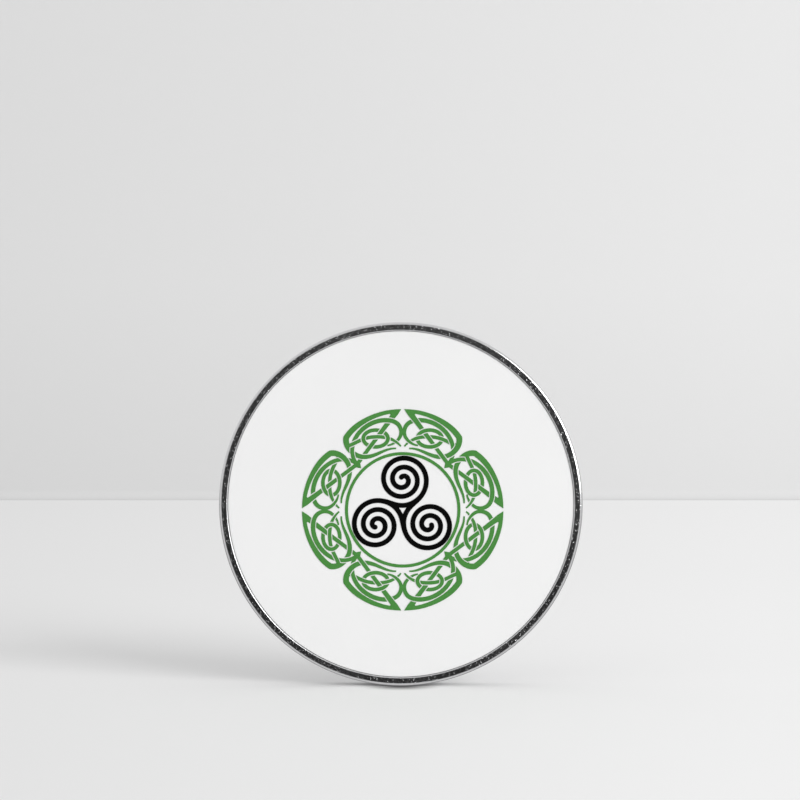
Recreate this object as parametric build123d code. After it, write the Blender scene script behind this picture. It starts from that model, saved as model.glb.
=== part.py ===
"""A golf ball marker: a plated steel coin with a printed aluminium insert glued into its front recess.

The marker stands on its edge. The origin is the centre of its back face, +Z is up, -Y points out
of the printed face, and +X is to the right of someone who looks at that face.

Each shape is drawn lying down, with its back face on the XY plane, its printed face towards +Z and
the top of the picture towards +Y. stand_up() then turns it into the frame above.
"""

from build123d import *

import math
import os

# The coin.
COIN_RADIUS = 12.5
COIN_THICKNESS = 2.0
FRONT_EDGE_RADIUS = 0.21
BACK_EDGE_RADIUS = 0.15
RECESS_RADIUS = 11.9
RECESS_DEPTH = 0.75
RECESS_LIP_CHAMFER = 0.06

# What fills the recess, from its floor upwards.
ADHESIVE_RADIUS = 11.6
ADHESIVE_THICKNESS = 0.10
INSERT_RADIUS = 11.875
INSERT_THICKNESS = 0.50
INSERT_EDGE_CHAMFER = 0.05
ENAMEL_THICKNESS = 0.04
ENAMEL_EDGE_RADIUS = 0.02
INK_THICKNESS = 0.03

ADHESIVE_BASE = COIN_THICKNESS - RECESS_DEPTH
INSERT_BASE = ADHESIVE_BASE + ADHESIVE_THICKNESS
ENAMEL_BASE = INSERT_BASE + INSERT_THICKNESS
INK_BASE = ENAMEL_BASE + ENAMEL_THICKNESS

# The picture: a wreath of eight knots round a ring, with a triple spiral inside the ring.
# It sits a little right of and below the middle of the coin.
PICTURE_CENTRE = (0.13, -0.40)
WREATH_RADIUS = 6.92
RING_RADIUS = 3.97
RING_WIDTH = 0.21
STRAND_WIDTH = 0.25
LOBE_SIDES = ("top", "right", "bottom", "left")

# A strand that passes under another stops this far short of it, and only this near the crossing.
WEAVE_GAP = 0.065
CUT_REACH = 0.5

# Strands that meet within this distance of a join run into each other, and don't cross.
JOIN_REACH = 0.3

# Points where strands of the knot to the right of the top start, end or turn a corner.
NOTCH = (0.52, 6.63)
LEAF_CORNER = (3.88, 4.97)
JUNCTION = (3.13, 3.13)
ARCH_END = (3.72, 4.4)

# The ring in the middle of that knot.
KNOT_RING_CENTRE = (1.86, 4.9)
KNOT_RING_RADII = (0.85, 0.58)

# The solid point where two knots meet at the wreath's edge, and half the arrowhead on its diagonal.
NOTCH_POINT = ((0.05, 7.0), (1.2, 7.0), (0.8, 6.5), (0.355, 6.51))
ARROWHEAD_ANGLE = 45
ARROWHEAD_HALF_ANGLE = 4
ARROWHEAD_RADII = (4.04, 4.5, 4.6)

# The triple spiral.
SPIRAL_ARMS = 3
SPIRAL_STROKE = 0.335
SPIRAL_PITCH = 0.62
SPIRAL_TURNS = 2.6
SPIRAL_CENTRE_RADIUS = 2.08
SPIRAL_START_RADIUS = 1.78
SPIRAL_POINTS_PER_TURN = 12

# How far round its own winding each arm is when the next arm's outer end runs into it.
JOIN_TURNS = 0.14


def stand_up(shape):
    """Turns a shape drawn lying down so that its printed face looks along -Y."""
    return Rot(90, 0, 0) * shape


def disc(radius, base, thickness):
    """A plain round plate whose underside is at the height base."""
    return Pos(0, 0, base) * Cylinder(
        radius, thickness, align=(Align.CENTER, Align.CENTER, Align.MIN)
    )


# Coin and insert


def coin():
    blank = disc(COIN_RADIUS, 0, COIN_THICKNESS)
    blank = fillet(blank.edges().group_by(Axis.Z)[-1], FRONT_EDGE_RADIUS)
    blank = fillet(blank.edges().group_by(Axis.Z)[0], BACK_EDGE_RADIUS)
    blank -= disc(RECESS_RADIUS, ADHESIVE_BASE, RECESS_DEPTH)
    lip = blank.edges().group_by(Axis.Z)[-1].sort_by(SortBy.RADIUS)[0]
    return chamfer(lip, RECESS_LIP_CHAMFER)


def adhesive():
    return disc(ADHESIVE_RADIUS, ADHESIVE_BASE, ADHESIVE_THICKNESS)


def insert_plate():
    plate = disc(INSERT_RADIUS, INSERT_BASE, INSERT_THICKNESS)
    return chamfer(plate.edges().group_by(Axis.Z)[0], INSERT_EDGE_CHAMFER)


def enamel():
    coat = disc(INSERT_RADIUS, ENAMEL_BASE, ENAMEL_THICKNESS)
    return fillet(coat.edges().group_by(Axis.Z)[-1], ENAMEL_EDGE_RADIUS)


# Strands of ink


def polar(degrees, radius):
    """A point at this angle clockwise from the top of the picture, and this far from its centre."""
    angle = math.radians(degrees)
    return (radius * math.sin(angle), radius * math.cos(angle))


def area(*outline):
    """The flat area inside an outline made of one or more lines, facing up."""
    face = Face(Wire([edge for line in outline for edge in line.edges()]))
    return face if face.normal_at().Z > 0 else -face


class Strand:
    """A band of ink along a smooth line, whose width may change from one end to the other.

    line is one or more curves that follow each other, with a sharp corner where two of them meet.
    widths are evenly spaced along the whole strand.
    """

    SAMPLE_STEP = 0.16

    def __init__(self, *line, widths=(STRAND_WIDTH,), closed=False):
        self.line = line
        self.widths = widths
        self.closed = closed

    def width(self, share):
        """The width at this share of the strand's length, read off between the stated ones."""
        if len(self.widths) == 1:
            return self.widths[0]
        place = share * (len(self.widths) - 1)
        before = min(int(place), len(self.widths) - 2)
        part = place - before
        return self.widths[before] * (1 - part) + self.widths[before + 1] * part

    def places(self):
        """For each curve, the points along it with their sideways direction and width."""
        total = sum(curve.length for curve in self.line)
        done = 0
        found = []
        for curve in self.line:
            count = max(4, round(curve.length / self.SAMPLE_STEP))
            curve_places = []
            for i in range(count if self.closed else count + 1):
                along = i / count
                tangent = curve.tangent_at(along)
                sideways = Vector(-tangent.Y, tangent.X)
                share = (done + along * curve.length) / total
                curve_places.append((curve.position_at(along), sideways, self.width(share)))
            found.append(curve_places)
            done += curve.length
        return found

    def edges(self, side, grow):
        """The strand's border on one side, which is 1 or -1, as one curve for each curve."""
        places = self.places()
        rows = [
            [point + sideways * side * (width / 2 + grow) for point, sideways, width in curve]
            for curve in places
        ]
        for k in range(len(places) - 1):
            point, before, width = places[k][-1]
            after = places[k + 1][0][1]
            mitre = (before + after).normalized()
            reach = (width / 2 + grow) / mitre.dot(before)
            rows[k][-1] = rows[k + 1][0] = point + mitre * side * reach
        return [Spline(*row, periodic=self.closed) for row in rows]

    def face(self, grow=0.0):
        """The inked area, made wider by grow on each side."""
        left = self.edges(1, grow)
        right = self.edges(-1, grow)
        if self.closed:
            inner, outer = sorted([area(*left), area(*right)], key=lambda face: face.area)
            return outer - inner
        start = Line(left[0] @ 0, right[0] @ 0)
        end = Line(left[-1] @ 1, right[-1] @ 1)
        return area(*left, end, *right, start)

    def along(self, point):
        """How far along the strand its line comes nearest to a point."""
        found = []
        for k, curve_places in enumerate(self.places()):
            for i, (place, _, _) in enumerate(curve_places):
                found.append(((place - point).length, k + i / len(curve_places)))
        return min(found)[1]


def crossings(faces, joins):
    """(point, one strand's number, the other's) for each place where two strands cross.

    Strands that meet at one of the joins run into each other there, and don't cross.
    """
    found = []
    for i, first in enumerate(faces):
        for j in range(i + 1, len(faces)):
            for patch in (Sketch() + first & faces[j]).faces():
                point = patch.center()
                if all((point - Vector(join)).length > JOIN_REACH for join in joins):
                    found.append((point, i, j))
    return found


def weave(strands, joins, first_is_over):
    """The strands' faces, cut back beside each strand that passes over them.

    Along each strand the crossings go over and under by turns. The first strand sets which way
    round that is, and each other strand follows from a crossing that is already settled.
    """
    faces = [strand.face() for strand in strands]
    met = crossings(faces, joins)
    rows = []
    for number, strand in enumerate(strands):
        row = [k for k, (_, i, j) in enumerate(met) if number in (i, j)]
        rows.append(sorted(row, key=lambda k: strand.along(met[k][0])))
    over = {}
    waiting = [(0, 0, first_is_over)]
    settled = set()
    while waiting:
        number, place, is_over = waiting.pop(0)
        if number in settled:
            continue
        settled.add(number)
        for k, crossing in enumerate(rows[number]):
            _, i, j = met[crossing]
            other = j if number == i else i
            here = is_over == ((k - place) % 2 == 0)
            over.setdefault(crossing, number if here else other)
            waiting.append((other, rows[other].index(crossing), over[crossing] == other))
    for crossing, (point, i, j) in enumerate(met):
        top = over[crossing]
        under = j if top == i else i
        near = Pos(point) * Circle(CUT_REACH)
        faces[under] = faces[under] - (near & strands[top].face(WEAVE_GAP))
    return faces


# The wreath


def knot_strands():
    """The strands of the knot to the right of the top of the wreath."""
    bar = Strand(Line(NOTCH, JUNCTION), widths=(0.40, 0.32, 0.28, 0.26, 0.26, 0.26))
    leaf = Strand(
        Spline((0.4, 6.8), (1.66, 6.54), (2.64, 6.1), (3.42, 5.52), LEAF_CORNER),
        Spline(
            LEAF_CORNER,
            (3.82, 4.42),
            (3.45, 3.93),
            (2.78, 3.64),
            (1.95, 3.76),
            (1.25, 4.06),
            (0.45, 4.22),
        ),
        widths=(0.26, 0.28, 0.32, 0.38, 0.40, 0.34, 0.28, 0.20, 0.10),
    )
    loop = Strand(
        Spline(
            JUNCTION,
            (3.44, 3.75),
            (3.4, 4.55),
            (2.92, 5.38),
            (2.1, 5.96),
            (1.1, 6.16),
            (0.3, 5.86),
            (0.12, 5.2),
            (0.46, 4.68),
            (1.05, 4.42),
        ),
        widths=(0.24, 0.26, 0.28, 0.30, 0.30, 0.30, 0.28, 0.22, 0.10),
    )
    arch = Strand(
        Spline((0.12, 4.36), (0.85, 4.88), (1.8, 5.02), (2.65, 4.88), (3.3, 4.58), ARCH_END),
        widths=(0.10, 0.22, 0.24, 0.24, 0.24),
    )
    oval = Edge.make_ellipse(*KNOT_RING_RADII).moved(Pos(*KNOT_RING_CENTRE))
    ring = Strand(oval, closed=True)
    return [bar, leaf, loop, arch, ring]


def knot(first_is_over):
    """The knot to the right of the top of the wreath, with its share of the points at its ends."""
    strands = weave(knot_strands(), (NOTCH, JUNCTION, ARCH_END), first_is_over)
    inner, middle, outer = ARROWHEAD_RADII
    arrowhead = Polyline(
        polar(ARROWHEAD_ANGLE, inner),
        polar(ARROWHEAD_ANGLE - ARROWHEAD_HALF_ANGLE, middle),
        polar(ARROWHEAD_ANGLE, outer),
        close=True,
    )
    return Sketch() + strands + area(Polyline(*NOTCH_POINT, close=True)) + area(arrowhead)


def lobe():
    """The two knots each side of the top of the wreath, mirrored and woven the other way round."""
    knots = knot(True) + mirror(knot(False), Plane.YZ)
    far = 2 * WREATH_RADIUS
    sector = area(Polyline((0, 0), (far, far), (-far, far), close=True))
    return knots & sector & Circle(WREATH_RADIUS)


def ring_print():
    return Circle(RING_RADIUS) - Circle(RING_RADIUS - RING_WIDTH)


# The triple spiral


def spiral_arm():
    """The arm above the middle, whose outer end runs into the arm to its left."""
    middle = Vector(0, SPIRAL_CENTRE_RADIUS)

    def place(turns):
        angle = math.radians(360 * turns - 90)
        radius = SPIRAL_START_RADIUS - SPIRAL_PITCH * turns
        return middle + Vector(math.cos(angle), math.sin(angle)) * radius

    count = round(SPIRAL_TURNS * SPIRAL_POINTS_PER_TURN)
    winding = Spline(*[place(k / SPIRAL_POINTS_PER_TURN) for k in range(count + 1)])
    to_the_left = Rot(0, 0, 360 / SPIRAL_ARMS)
    joins_at = (to_the_left * Pos(place(JOIN_TURNS))).position
    just_past = (to_the_left * Pos(place(JOIN_TURNS + 0.01))).position
    back = (joins_at - just_past).normalized()
    lead = Spline(joins_at, place(0), tangents=(back, winding.tangent_at(0)))
    stroke = Strand(lead, winding, widths=(SPIRAL_STROKE,))
    return stroke.face() + Pos(winding @ 1) * Circle(SPIRAL_STROKE / 2)


def triple_spiral():
    arm = spiral_arm()
    return Sketch() + [Rot(0, 0, 360 * k / SPIRAL_ARMS) * arm for k in range(SPIRAL_ARMS)]


# Everything together


def ink(picture):
    """Part of the picture as a film of ink on the enamel."""
    film = extrude(picture, INK_THICKNESS, dir=(0, 0, 1))
    return Pos(*PICTURE_CENTRE, INK_BASE) * film


def nodes():
    """Each node's name and its shape, still lying down."""
    shapes = {
        "marker_body": coin(),
        "adhesive_film": adhesive(),
        "insert_plate": insert_plate(),
        "white_enamel": enamel(),
        "ring_print": ink(ring_print()),
        "spiral_print": ink(triple_spiral()),
    }
    top_lobe = lobe()
    for k, side in enumerate(LOBE_SIDES):
        quarter_turns = Rot(0, 0, -360 * k / len(LOBE_SIDES))
        shapes[f"knot_print_{side}"] = ink(quarter_turns * top_lobe)
    return shapes


os.makedirs("parts", exist_ok=True)
for name, shape in nodes().items():
    export_step(stand_up(shape), f"parts/{name}.step")
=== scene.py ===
"""A golf ball marker standing on its edge: the final meshes, materials, lights and camera.

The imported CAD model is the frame. The coin, the insert and its coat and the adhesive are turned here
as finer meshes that replace their CAD nodes; the ink stays as the CAD made it. Lengths are in metres.
"""

import math

import bpy
import bmesh
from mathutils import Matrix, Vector


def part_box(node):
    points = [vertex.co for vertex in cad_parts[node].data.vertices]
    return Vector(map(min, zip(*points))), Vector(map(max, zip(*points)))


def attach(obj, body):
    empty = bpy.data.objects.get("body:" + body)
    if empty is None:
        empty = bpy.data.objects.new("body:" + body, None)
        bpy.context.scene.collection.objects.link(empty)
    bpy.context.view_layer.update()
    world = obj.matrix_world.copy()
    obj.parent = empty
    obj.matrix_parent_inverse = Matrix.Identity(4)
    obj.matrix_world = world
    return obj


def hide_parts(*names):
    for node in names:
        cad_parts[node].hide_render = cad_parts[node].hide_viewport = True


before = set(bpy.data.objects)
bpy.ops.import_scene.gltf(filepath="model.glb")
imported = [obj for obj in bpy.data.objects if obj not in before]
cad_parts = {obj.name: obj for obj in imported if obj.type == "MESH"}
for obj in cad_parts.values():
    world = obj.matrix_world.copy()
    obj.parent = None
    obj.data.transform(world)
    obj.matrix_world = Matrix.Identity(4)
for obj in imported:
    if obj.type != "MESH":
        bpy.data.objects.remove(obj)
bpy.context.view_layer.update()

MM = 0.001

# The coin's own sizes that its box doesn't give.
FRONT_EDGE_RADIUS = 0.21 * MM
BACK_EDGE_RADIUS = 0.15 * MM
RECESS_RADIUS = 11.9 * MM
RECESS_LIP = 0.06 * MM
INSERT_EDGE_CHAMFER = 0.05 * MM
ENAMEL_EDGE_RADIUS = 0.02 * MM

# How finely the turned pieces are divided round the axis, and the loops across their flat faces: at
# these radii on the coin, and at these shares of the radius on the discs.
ROUND_SEGMENTS = 480
COIN_LOOPS = (4 * MM, 8 * MM, 11 * MM)
DISC_LOOPS = (0.3, 0.6, 0.9)

# Edges that turn by more than this are shaded sharp.
SHARP_ANGLE = math.radians(32)

coin_low, coin_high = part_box("marker_body")
film_low, film_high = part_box("adhesive_film")
plate_low, plate_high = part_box("insert_plate")
coat_low, coat_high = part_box("white_enamel")

COIN_RADIUS = coin_high.x
FRONT = coin_low.y
BACK = coin_high.y
FLOOR_HEIGHT = coin_low.z


# Shader nodes


class Shader:
    """A material's nodes, added by short calls. Its coordinates are in millimetres."""

    def __init__(self, name, color, roughness, metallic=0.0, ior=1.5):
        self.material = bpy.data.materials.new(name)
        self.material.use_nodes = True
        self.tree = self.material.node_tree
        self.surface = self.tree.nodes["Principled BSDF"]
        self.set("Base Color", (*color, 1.0))
        self.set("Roughness", roughness)
        self.set("Metallic", metallic)
        self.set("IOR", ior)
        place = self.add("TexCoord").outputs["Object"]
        self.place = self.vector("SCALE", place, scale=1 / MM)

    def add(self, kind, **settings):
        node = self.tree.nodes.new("ShaderNode" + kind)
        for key, value in settings.items():
            setattr(node, key, value)
        return node

    def feed(self, socket, value):
        """Links the socket if value is another node's output, and otherwise sets it."""
        if isinstance(value, bpy.types.NodeSocket):
            self.tree.links.new(value, socket)
        else:
            socket.default_value = value

    def set(self, name, value):
        self.feed(self.surface.inputs[name], value)

    def math(self, operation, first, second=0.0):
        node = self.add("Math", operation=operation)
        self.feed(node.inputs[0], first)
        self.feed(node.inputs[1], second)
        return node.outputs[0]

    def vector(self, operation, first, second=(0.0, 0.0, 0.0), scale=1.0):
        node = self.add("VectorMath", operation=operation)
        self.feed(node.inputs[0], first)
        if operation == "SCALE":
            node.inputs["Scale"].default_value = scale
        else:
            self.feed(node.inputs[1], second)
        return node.outputs[0]

    def noise(self, per_mm, detail=3.0, place=None, rough=0.5):
        """Noise from 0 to 1 with about this many features in a millimetre."""
        node = self.add("TexNoise")
        self.feed(node.inputs["Vector"], self.place if place is None else place)
        node.inputs["Scale"].default_value = per_mm
        node.inputs["Detail"].default_value = detail
        node.inputs["Roughness"].default_value = rough
        return node.outputs["Fac"]

    def ramp(self, value, low, high, to_low, to_high, kind="LINEAR"):
        """value's range from low to high, spread over to_low to to_high and held beyond."""
        node = self.add("MapRange", clamp=True, interpolation_type=kind)
        for socket, number in zip(list(node.inputs)[:5], (value, low, high, to_low, to_high)):
            self.feed(socket, number)
        return node.outputs[0]

    def mix(self, share, first, second):
        """One colour turning into another as share goes from 0 to 1."""
        node = self.add("Mix", data_type="RGBA")
        self.feed(node.inputs["Factor"], share)
        self.feed(node.inputs["A"], (*first, 1.0) if isinstance(first, tuple) else first)
        self.feed(node.inputs["B"], (*second, 1.0) if isinstance(second, tuple) else second)
        return node.outputs["Result"]

    def bump(self, height, depth, before=None):
        """Bumps of this depth in metres on the surface, over those made before."""
        node = self.add("Bump")
        node.inputs["Strength"].default_value = 1.0
        node.inputs["Distance"].default_value = depth
        self.feed(node.inputs["Height"], height)
        if before is not None:
            self.feed(node.inputs["Normal"], before)
        return node.outputs["Normal"]

    def around(self, across_per_mm, along_per_mm):
        """Coordinates that follow circles round the marker's axis, for marks that run round it."""
        parts = self.add("SeparateXYZ")
        self.feed(parts.inputs[0], self.place)
        x, y, z = parts.outputs
        squares = self.math("ADD", self.math("MULTIPLY", x, x), self.math("MULTIPLY", z, z))
        radius = self.math("SQRT", squares)
        angle = self.math("ARCTAN2", z, x)
        joined = self.add("CombineXYZ")
        self.feed(joined.inputs[0], self.math("MULTIPLY", radius, across_per_mm))
        self.feed(joined.inputs[1], self.math("MULTIPLY", angle, along_per_mm * COIN_RADIUS / MM))
        self.feed(joined.inputs[2], self.math("MULTIPLY", y, across_per_mm))
        return joined.outputs[0]

    def scratches(self, turn, per_mm, length):
        """Thin straight scratches in one direction, from 0 on the surface to 1 in a scratch."""
        spun = self.add("VectorRotate", rotation_type="Y_AXIS")
        self.feed(spun.inputs["Vector"], self.place)
        spun.inputs["Angle"].default_value = turn
        squeezed = self.vector("MULTIPLY", spun.outputs[0], (per_mm, per_mm, 1 / length))
        streaks = self.noise(1.0, 2.0, squeezed)
        return self.ramp(streaks, 0.66, 0.72, 0.0, 1.0)


# Materials


# How deep the hairline scratches are, and how many times deeper than the grain the pits are.
HAIRLINE_DEPTH = 0.0005 * MM
PIT_DEPTH_TO_GRAIN = 4


def plating(name, color, roughness, mottle, grain, rings, fan=0.0):
    """Nickel-chrome plating over steel: mottling, grain, pits, hairline scratches and marks of turning.

    mottle is how much its tone varies. grain and rings are the depths of the grain and of the marks
    that run round the marker's axis, and the pits are deeper than the grain by a fixed factor. fan
    stretches highlights out from the axis, as brushing does.
    """
    shader = Shader(name, color, roughness, metallic=1.0)
    cloud = shader.noise(0.35, 4.0)
    scuffs = shader.noise(4.0, 4.0)
    pits = shader.ramp(shader.noise(7.0, 2.0), 0.60, 0.68, 0.0, 1.0)
    round_marks = shader.noise(1.0, 3.0, shader.around(11.0, 0.10))
    hairlines = [shader.scratches(turn, 5.0, 5.0) for turn in (0.4, 1.3, 2.5)]
    scratched = shader.math("MAXIMUM", shader.math("MAXIMUM", *hairlines[:2]), hairlines[2])
    tone = shader.ramp(scuffs, 0.3, 0.7, 0.0, 1.0)
    darker = tuple((1 - mottle) * c for c in color)
    paler = tuple((1 + mottle) * c for c in color)
    shader.set("Base Color", shader.mix(tone, darker, paler))
    rough = shader.ramp(cloud, 0.3, 0.7, roughness * 0.85, roughness * 1.15)
    rough = shader.math("ADD", rough, shader.ramp(scuffs, 0.5, 0.75, 0.0, mottle * 0.3))
    rough = shader.math("ADD", rough, shader.math("MULTIPLY", scratched, 0.10))
    shader.set("Roughness", rough)
    normal = shader.bump(shader.noise(12.0, 3.0), grain)
    normal = shader.bump(pits, -PIT_DEPTH_TO_GRAIN * grain, normal)
    normal = shader.bump(round_marks, rings, normal)
    normal = shader.bump(shader.math("SUBTRACT", 1.0, scratched), HAIRLINE_DEPTH, normal)
    shader.set("Normal", normal)
    if fan:
        shader.set("Anisotropic", fan)
        shader.set("Tangent", shader.add("Tangent", direction_type="RADIAL", axis="Y").outputs[0])
    return shader.material


def enamel_coat():
    """Baked white enamel: smooth, with a slight orange peel and a few specks of dust under it."""
    shader = Shader("white enamel", (0.78, 0.78, 0.78), 0.42, ior=1.47)
    cloud = shader.noise(0.12, 3.0)
    peel = shader.noise(2.2, 2.0)
    specks = shader.ramp(shader.noise(9.0, 1.0), 0.80, 0.84, 0.0, 1.0)
    tone = shader.ramp(cloud, 0.3, 0.7, 0.0, 1.0)
    white = shader.mix(tone, (0.775, 0.775, 0.775), (0.785, 0.785, 0.784))
    shader.set("Base Color", shader.mix(specks, white, (0.74, 0.74, 0.73)))
    shader.set("Roughness", shader.ramp(cloud, 0.3, 0.7, 0.38, 0.46))
    shader.set("Normal", shader.bump(peel, 0.0008 * MM))
    return shader.material


def ink(name, deep, pale, roughness):
    """Cured print ink: a fine grain of darker and paler droplets, slightly raised, with little gloss."""
    shader = Shader(name, deep, roughness, ior=1.48)
    shader.set("Specular IOR Level", 0.06)
    droplets = shader.noise(16.0, 2.0)
    density = shader.noise(1.6, 3.0)
    dotted = shader.ramp(droplets, 0.35, 0.7, 0.0, 0.75)
    patchy = shader.ramp(density, 0.3, 0.7, 0.4, 1.0)
    share = shader.math("MULTIPLY", dotted, patchy)
    shader.set("Base Color", shader.mix(share, deep, pale))
    shader.set("Roughness", shader.ramp(droplets, 0.3, 0.7, roughness * 0.9, roughness * 1.15))
    shader.set("Normal", shader.bump(droplets, 0.001 * MM))
    return shader.material


def cut_aluminium():
    """Bare punched aluminium: rolling grain in one direction, with torn streaks."""
    shader = Shader("bare aluminium", (0.78, 0.78, 0.79), 0.34, metallic=1.0)
    stretched = shader.vector("MULTIPLY", shader.place, (0.4, 9.0, 9.0))
    grain = shader.noise(1.0, 4.0, stretched)
    shader.set("Base Color", shader.mix(grain, (0.72, 0.72, 0.73), (0.84, 0.84, 0.85)))
    shader.set("Roughness", shader.ramp(grain, 0.3, 0.7, 0.26, 0.44))
    shader.set("Normal", shader.bump(grain, 0.002 * MM))
    return shader.material


def adhesive_acrylic():
    """Double-sided acrylic film: milky, tacky and slightly uneven, with small trapped bubbles."""
    shader = Shader("acrylic adhesive", (0.72, 0.70, 0.62), 0.5)
    cloud = shader.noise(0.8, 4.0)
    cells = shader.add("TexVoronoi")
    shader.feed(cells.inputs["Vector"], shader.place)
    cells.inputs["Scale"].default_value = 2.5
    bubbles = shader.ramp(cells.outputs["Distance"], 0.06, 0.12, 1.0, 0.0)
    milky = shader.mix(cloud, (0.66, 0.64, 0.55), (0.78, 0.77, 0.70))
    shader.set("Base Color", shader.mix(bubbles, milky, (0.86, 0.86, 0.82)))
    shader.set("Roughness", shader.ramp(cloud, 0.3, 0.7, 0.42, 0.6))
    shader.set("Normal", shader.bump(bubbles, 0.004 * MM))
    return shader.material


# Turned pieces


def arc(centre_r, centre_y, radius, start, end, steps):
    """Points (r, y) on a circular arc; 0 degrees points away from the axis and 90 to the back."""
    angles = [math.radians(start + (end - start) * k / steps) for k in range(steps + 1)]
    return [(centre_r + radius * math.cos(a), centre_y + radius * math.sin(a)) for a in angles]


def turned(name, profile, materials, material_of=lambda r, y: 0):
    """A mesh turned round the marker's axis from a profile of (r, y) points that starts and ends on it.

    material_of gives each face's material from the place of the face's middle.
    """
    mesh = bpy.data.meshes.new(name)
    form = bmesh.new()
    first = form.verts.new((0, profile[0][1], 0))
    last = form.verts.new((0, profile[-1][1], 0))
    turns = [2 * math.pi * k / ROUND_SEGMENTS for k in range(ROUND_SEGMENTS)]
    rings = [
        [form.verts.new((r * math.cos(t), y, r * math.sin(t))) for t in turns]
        for r, y in profile[1:-1]
    ]
    for k in range(ROUND_SEGMENTS):
        j = (k + 1) % ROUND_SEGMENTS
        form.faces.new((first, rings[0][j], rings[0][k]))
        for inner, outer in zip(rings, rings[1:]):
            form.faces.new((inner[k], inner[j], outer[j], outer[k]))
        form.faces.new((last, rings[-1][k], rings[-1][j]))
    bmesh.ops.recalc_face_normals(form, faces=form.faces)
    for face in form.faces:
        face.smooth = True
        middle = face.calc_center_median()
        face.material_index = material_of(math.hypot(middle.x, middle.z), middle.y)
    form.to_mesh(mesh)
    form.free()
    mesh.set_sharp_from_angle(angle=SHARP_ANGLE)
    piece = bpy.data.objects.new(name, mesh)
    bpy.context.scene.collection.objects.link(piece)
    for material in materials:
        mesh.materials.append(material)
    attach(piece, "root")
    return piece


def make_coin():
    """The plated coin: rounded outer edges, a straight side and a recessed front with a softened lip."""
    support = 0.012 * MM
    floor = film_high.y
    front_r = COIN_RADIUS - FRONT_EDGE_RADIUS
    front_y = FRONT + FRONT_EDGE_RADIUS
    back_r = COIN_RADIUS - BACK_EDGE_RADIUS
    back_y = BACK - BACK_EDGE_RADIUS
    lip_r = RECESS_RADIUS + RECESS_LIP
    profile = [(0, floor)]
    profile += [(r, floor) for r in (*COIN_LOOPS, RECESS_RADIUS - support)]
    profile += arc(RECESS_RADIUS - support, floor - support, support, 90, 0, 3)[1:]
    profile += [(RECESS_RADIUS, FRONT + RECESS_LIP + support), (RECESS_RADIUS, FRONT + RECESS_LIP)]
    profile += [(RECESS_RADIUS + 0.5 * RECESS_LIP, FRONT + 0.42 * RECESS_LIP)]
    profile += [(lip_r, FRONT + 0.06 * RECESS_LIP), (lip_r + support, FRONT)]
    profile += [(r, FRONT) for r in (lip_r + 4 * support, front_r - 4 * support, front_r - support)]
    profile += arc(front_r, front_y, FRONT_EDGE_RADIUS, -90, 0, 16)
    profile += [(COIN_RADIUS, front_y + support), (COIN_RADIUS, back_y - support)]
    profile += arc(back_r, back_y, BACK_EDGE_RADIUS, 0, 90, 12)
    profile += [(back_r - support, BACK), (back_r - 4 * support, BACK)]
    profile += [(r, BACK) for r in reversed(COIN_LOOPS)] + [(0, BACK)]
    finishes = [
        plating("plating on the edges", (0.70, 0.70, 0.71), 0.12, 0.04, 0.0002 * MM, 0.0008 * MM),
        plating("plating on the front", (0.66, 0.66, 0.67), 0.17, 0.18, 0.0013 * MM, 0.0008 * MM),
        plating("plating on the back", (0.70, 0.70, 0.71), 0.34, 0.04, 0.0002 * MM, 0.0012 * MM, 0.8),
        # The recess plating's dark colour is painted shade, for the narrow gap round the insert.
        plating("plating in the recess", (0.30, 0.30, 0.31), 0.42, 0.10, 0.0030 * MM, 0.0010 * MM),
        plating("plating on the lip", (0.60, 0.60, 0.61), 0.30, 0.10, 0.0006 * MM, 0.0006 * MM),
    ]
    edges, front, rear, painted_shade_recess, lip = range(len(finishes))

    def finish_at(r, y):
        if y > BACK - 0.1 * BACK_EDGE_RADIUS:
            return rear
        if y < FRONT + 0.02 * FRONT_EDGE_RADIUS:
            return front
        if r < RECESS_RADIUS - support / 2:
            return painted_shade_recess
        return lip if r < lip_r else edges

    coin = turned("plated_coin", profile, finishes, finish_at)
    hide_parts("marker_body")


def make_film():
    """The adhesive film, whose cut edge bulges a little where the insert was pressed home."""
    radius = film_high.x
    middle = (film_low.y + film_high.y) / 2
    half = (film_high.y - film_low.y) / 2
    profile = [(0, film_low.y)]
    profile += [(share * radius, film_low.y) for share in DISC_LOOPS]
    profile += arc(radius - half, middle, half, -90, 90, 10)
    profile += [(share * radius, film_high.y) for share in reversed(DISC_LOOPS)]
    profile += [(0, film_high.y)]
    film = turned("adhesive_disc", profile, [adhesive_acrylic()])
    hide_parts("adhesive_film")


def make_insert():
    """The punched aluminium disc: a drawn-in front edge from the punch and a chamfered back edge."""
    radius = plate_high.x
    roll = 0.03 * MM
    front, back = plate_low.y, plate_high.y
    profile = [(0, front)]
    profile += [(share * radius, front) for share in DISC_LOOPS]
    profile += arc(radius - roll, front + roll, roll, -90, 0, 5)
    profile += [(radius, back - INSERT_EDGE_CHAMFER), (radius - INSERT_EDGE_CHAMFER, back)]
    profile += [(share * radius, back) for share in reversed(DISC_LOOPS)] + [(0, back)]
    insert = turned("insert_disc", profile, [cut_aluminium()])
    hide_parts("insert_plate")


def make_enamel():
    """The white coat, which wets round the insert's front edge in a small radius."""
    radius = coat_high.x
    front, back = coat_low.y, coat_high.y
    edge = ENAMEL_EDGE_RADIUS
    profile = [(0, front)]
    profile += [(share * radius, front) for share in (0.25, 0.5, 0.75, 0.95)]
    profile += [(radius - 3 * edge, front)]
    profile += arc(radius - edge, front + edge, edge, -90, 0, 6)
    profile += [(radius, back), (radius * 0.9, back), (radius * 0.5, back), (0, back)]
    coat = turned("enamel_disc", profile, [enamel_coat()])
    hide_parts("white_enamel")


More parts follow.
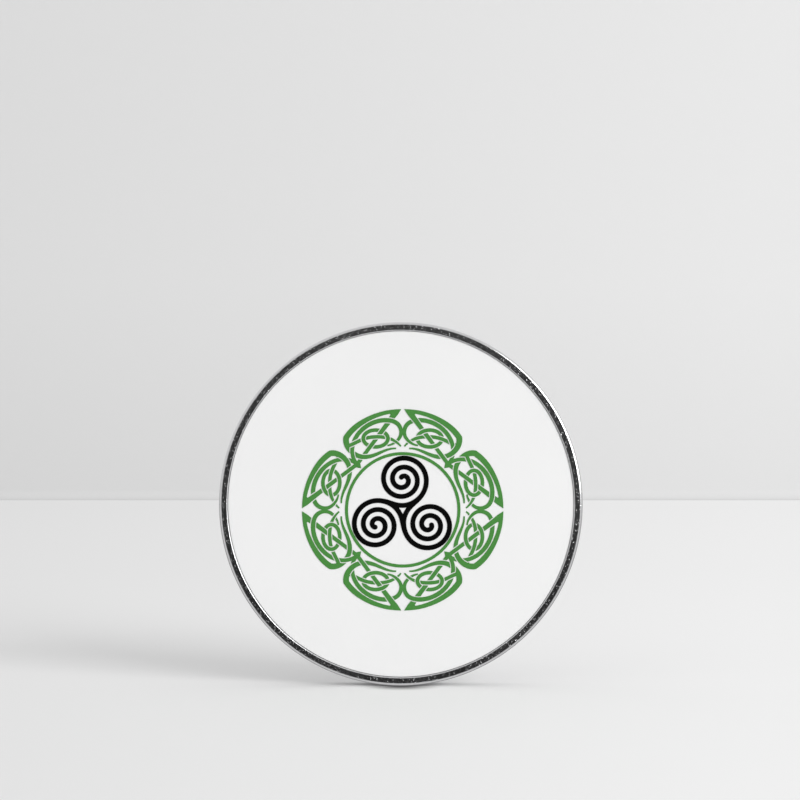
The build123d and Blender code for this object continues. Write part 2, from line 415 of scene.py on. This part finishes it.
def finish_ink():
    """The CAD's own ink films, with their materials."""
    green = ink("green ink", (0.055, 0.212, 0.042), (0.090, 0.265, 0.072), 0.55)
    black = ink("black ink", (0.0003, 0.0003, 0.0003), (0.001, 0.001, 0.001), 0.55)
    for name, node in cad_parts.items():
        if name.endswith("_print") or name.startswith("knot_print"):
            node.data.materials.clear()
            node.data.materials.append(black if name == "spiral_print" else green)


# The studio

# The lens and its sensor are in millimetres, the places and sizes in metres, and the power in watts.
CAMERA_LENS = 100
SENSOR_WIDTH = 36
CAMERA_PLACE = (-0.058 * MM, -154.6 * MM, 7.145 * MM)
WALL_DISTANCE = 283 * MM
STAGE_REACH = 1.3
COVE_RADIUS = 2.0 * MM
CARD_DISTANCE = 320 * MM
CARD_HALF = 130 * MM
KEY_PLACE = (1.65, -1.65, 0.77)
KEY_SIZE = 1.5
KEY_POWER = 44
WORLD_STRENGTH = 0.80

# The painted contact shadow: how dark it is, and how far it spreads before, behind and beside the
# foot, in millimetres. Then how much floor it may cover, and how high it lies over it.
SHADE_ALPHA = 0.88
SHADE_BEFORE = 1.6
SHADE_BEHIND = 0.7
SHADE_ASIDE = 1.9
SHADE_REACH = 6 * MM
SHADE_LIFT = 0.003 * MM


def link(thing):
    bpy.context.scene.collection.objects.link(thing)
    return thing


def axes(shader):
    """The three coordinates of a place on the surface, in millimetres."""
    parts = shader.add("SeparateXYZ")
    shader.feed(parts.inputs[0], shader.place)
    return parts.outputs


def painted_sideways_light(shader, left, right):
    """Painted light: paler towards the right, over a span that widens with the distance from the
    camera's place.

    The painted gradient lies still in the room, whatever looks at it.
    """
    x, y, _ = axes(shader)
    reach = shader.math("MAXIMUM", shader.math("ADD", y, -CAMERA_PLACE[1] / MM), 60.0)
    return shader.ramp(shader.math("DIVIDE", x, reach), -0.22, 0.16, left, right)


def paper(name):
    """Matt paper with a faint tooth."""
    shader = Shader(name, (0.8, 0.8, 0.8), 0.8)
    shader.set("Specular IOR Level", 0.1)
    shader.set("Normal", shader.bump(shader.noise(2.0, 4.0), 0.004 * MM))
    return shader


def grey(shader, value):
    """A neutral colour of this brightness."""
    joined = shader.add("CombineColor")
    for socket in joined.inputs:
        shader.feed(socket, value)
    return joined.outputs[0]


def make_floor():
    """The floor, with painted light and shade: paler to the right, and a little darker near the camera
    and far off. The metal doesn't mirror it.
    """
    shader = paper("floor paper")
    # Painted light: the floor is paler towards the right, where the key light stands.
    pale = painted_sideways_light(shader, 0.785, 0.90)
    along = axes(shader)[1]
    # Painted shade: the floor is darker far behind the marker and near the camera.
    farther = shader.ramp(along, 5.0, 100.0, 1.0, 0.985)
    nearer = shader.ramp(along, -500.0, -60.0, 0.82, 1.0)
    painted_falloff = shader.math("MULTIPLY", farther, nearer)
    shader.set("Base Color", grey(shader, shader.math("MULTIPLY", pale, painted_falloff)))
    mesh = bpy.data.meshes.new("studio_floor")
    reach = STAGE_REACH
    corners = [(-reach, -reach), (reach, -reach), (reach, reach), (-reach, reach)]
    mesh.from_pydata([(x, y, FLOOR_HEIGHT) for x, y in corners], [], [(0, 1, 2, 3)])
    mesh.materials.append(shader.material)
    floor = link(bpy.data.objects.new("studio_floor", mesh))
    floor.visible_glossy = False


def make_contact():
    """A painted contact shadow: a soft dark patch on the floor round the marker's foot, which takes
    no light off anything.
    """
    shader = Shader("contact shade", (0.01, 0.01, 0.01), 1.0)
    shader.set("Specular IOR Level", 0.0)
    x, y, _ = axes(shader)
    before = shader.math("DIVIDE", shader.math("SUBTRACT", FRONT / MM, y), SHADE_BEFORE)
    behind = shader.math("DIVIDE", shader.math("SUBTRACT", y, BACK / MM), SHADE_BEHIND)
    away = shader.math("MAXIMUM", shader.math("MAXIMUM", before, behind), 0.0)
    aside = shader.math("DIVIDE", x, SHADE_ASIDE)
    squares = shader.math("ADD", shader.math("POWER", away, 2.0), shader.math("POWER", aside, 2.0))
    distance = shader.math("SQRT", squares)
    shader.set("Alpha", shader.ramp(distance, 0.10, 1.7, SHADE_ALPHA, 0.0, "SMOOTHSTEP"))
    reach = SHADE_REACH
    height = FLOOR_HEIGHT + SHADE_LIFT
    corners = [(-reach, FRONT - reach), (reach, FRONT - reach), (reach, reach), (-reach, reach)]
    mesh = bpy.data.meshes.new("contact_shade")
    mesh.from_pydata([(x, y, height) for x, y in corners], [], [(0, 1, 2, 3)])
    mesh.materials.append(shader.material)
    shade = link(bpy.data.objects.new("contact_shade", mesh))
    shade.visible_glossy = False
    shade.visible_diffuse = False
    shade.visible_shadow = False


def make_wall():
    """The wall behind, which rises from the floor in a small cove. It takes no light off the floor."""
    steps = 12
    profile = []
    for k in range(steps + 1):
        a = math.radians(90 * k / steps)
        back = WALL_DISTANCE - COVE_RADIUS * (1 - math.sin(a))
        profile.append((back, FLOOR_HEIGHT + COVE_RADIUS * (1 - math.cos(a))))
    profile.append((WALL_DISTANCE, STAGE_REACH))
    form = bmesh.new()
    rows = [[form.verts.new((x, y, z)) for y, z in profile] for x in (-STAGE_REACH, STAGE_REACH)]
    for k in range(len(profile) - 1):
        form.faces.new((rows[0][k], rows[1][k], rows[1][k + 1], rows[0][k + 1])).smooth = True
    mesh = bpy.data.meshes.new("studio_wall")
    form.to_mesh(mesh)
    form.free()
    shader = paper("wall paper")
    # Painted light and shade: paler to the right, and darker low down where the wall meets the floor.
    pale = painted_sideways_light(shader, 0.628, 0.688)
    painted_foot_shade = shader.ramp(axes(shader)[2], -12.0, 30.0, 0.94, 1.0)
    shader.set("Base Color", grey(shader, shader.math("MULTIPLY", pale, painted_foot_shade)))
    mesh.materials.append(shader.material)
    wall = link(bpy.data.objects.new("studio_wall", mesh))
    wall.visible_glossy = False
    wall.visible_diffuse = False
    wall.visible_shadow = False


def make_card():
    """A dark card round the camera, so that the polished rim has something dark to mirror."""
    mesh = bpy.data.meshes.new("dark_card")
    half = CARD_HALF
    corners = [(-half, 0, -half), (half, 0, -half), (half, 0, half), (-half, 0, half)]
    mesh.from_pydata(corners, [], [(0, 1, 2, 3)])
    shader = Shader("dark card", (0.05, 0.05, 0.05), 0.8)
    shader.set("Base Color", grey(shader, shader.ramp(axes(shader)[2], -60.0, 10.0, 0.028, 0.046)))
    mesh.materials.append(shader.material)
    card = link(bpy.data.objects.new("dark_card", mesh))
    card.location = (0, -CARD_DISTANCE, 0)
    card.visible_camera = False
    card.visible_shadow = False


def add_key():
    """One soft light, in front and to the right."""
    data = bpy.data.lights.new("key", "AREA")
    data.size = KEY_SIZE
    data.energy = KEY_POWER
    key = link(bpy.data.objects.new("key", data))
    key.location = KEY_PLACE
    key.rotation_euler = (-Vector(KEY_PLACE)).to_track_quat("-Z", "Y").to_euler()


def make_world():
    """Pale light from all round, dimmer low down behind and a little dimmer in front.

    The metal mirrors these differences, which give it its shape.
    """
    world = bpy.data.worlds.new("studio")
    world.use_nodes = True
    tree = world.node_tree
    background = tree.nodes["Background"]
    background.inputs["Strength"].default_value = WORLD_STRENGTH
    place = tree.nodes.new("ShaderNodeTexCoord")
    parts = tree.nodes.new("ShaderNodeSeparateXYZ")
    tree.links.new(place.outputs["Generated"], parts.inputs[0])

    def ramp(axis, low, high, to_low, to_high):
        node = tree.nodes.new("ShaderNodeMapRange")
        for socket, number in zip(list(node.inputs)[1:5], (low, high, to_low, to_high)):
            socket.default_value = number
        tree.links.new(parts.outputs[axis], node.inputs["Value"])
        return node.outputs[0]

    shade = tree.nodes.new("ShaderNodeMath")
    shade.operation = "MULTIPLY_ADD"
    tree.links.new(ramp("Z", -0.15, 0.15, -0.65, 0.0), shade.inputs[0])
    tree.links.new(ramp("Y", -0.3, 0.6, 0.0, 1.0), shade.inputs[1])
    tree.links.new(ramp("Y", -0.9, -0.2, 0.80, 1.0), shade.inputs[2])
    tree.links.new(shade.outputs[0], background.inputs["Color"])
    bpy.context.scene.world = world


def make_camera():
    data = bpy.data.cameras.new("camera")
    data.lens = CAMERA_LENS
    data.sensor_width = SENSOR_WIDTH
    data.clip_start = 0.01
    data.clip_end = 5
    camera = link(bpy.data.objects.new("camera", data))
    camera.location = CAMERA_PLACE
    camera.rotation_euler = (math.pi / 2, 0, 0)
    bpy.context.scene.camera = camera


make_camera()
make_coin()
make_film()
make_insert()
make_enamel()
finish_ink()
make_floor()
make_contact()
make_wall()
make_card()
make_world()
add_key()
bpy.context.scene.view_settings.view_transform = "Standard"
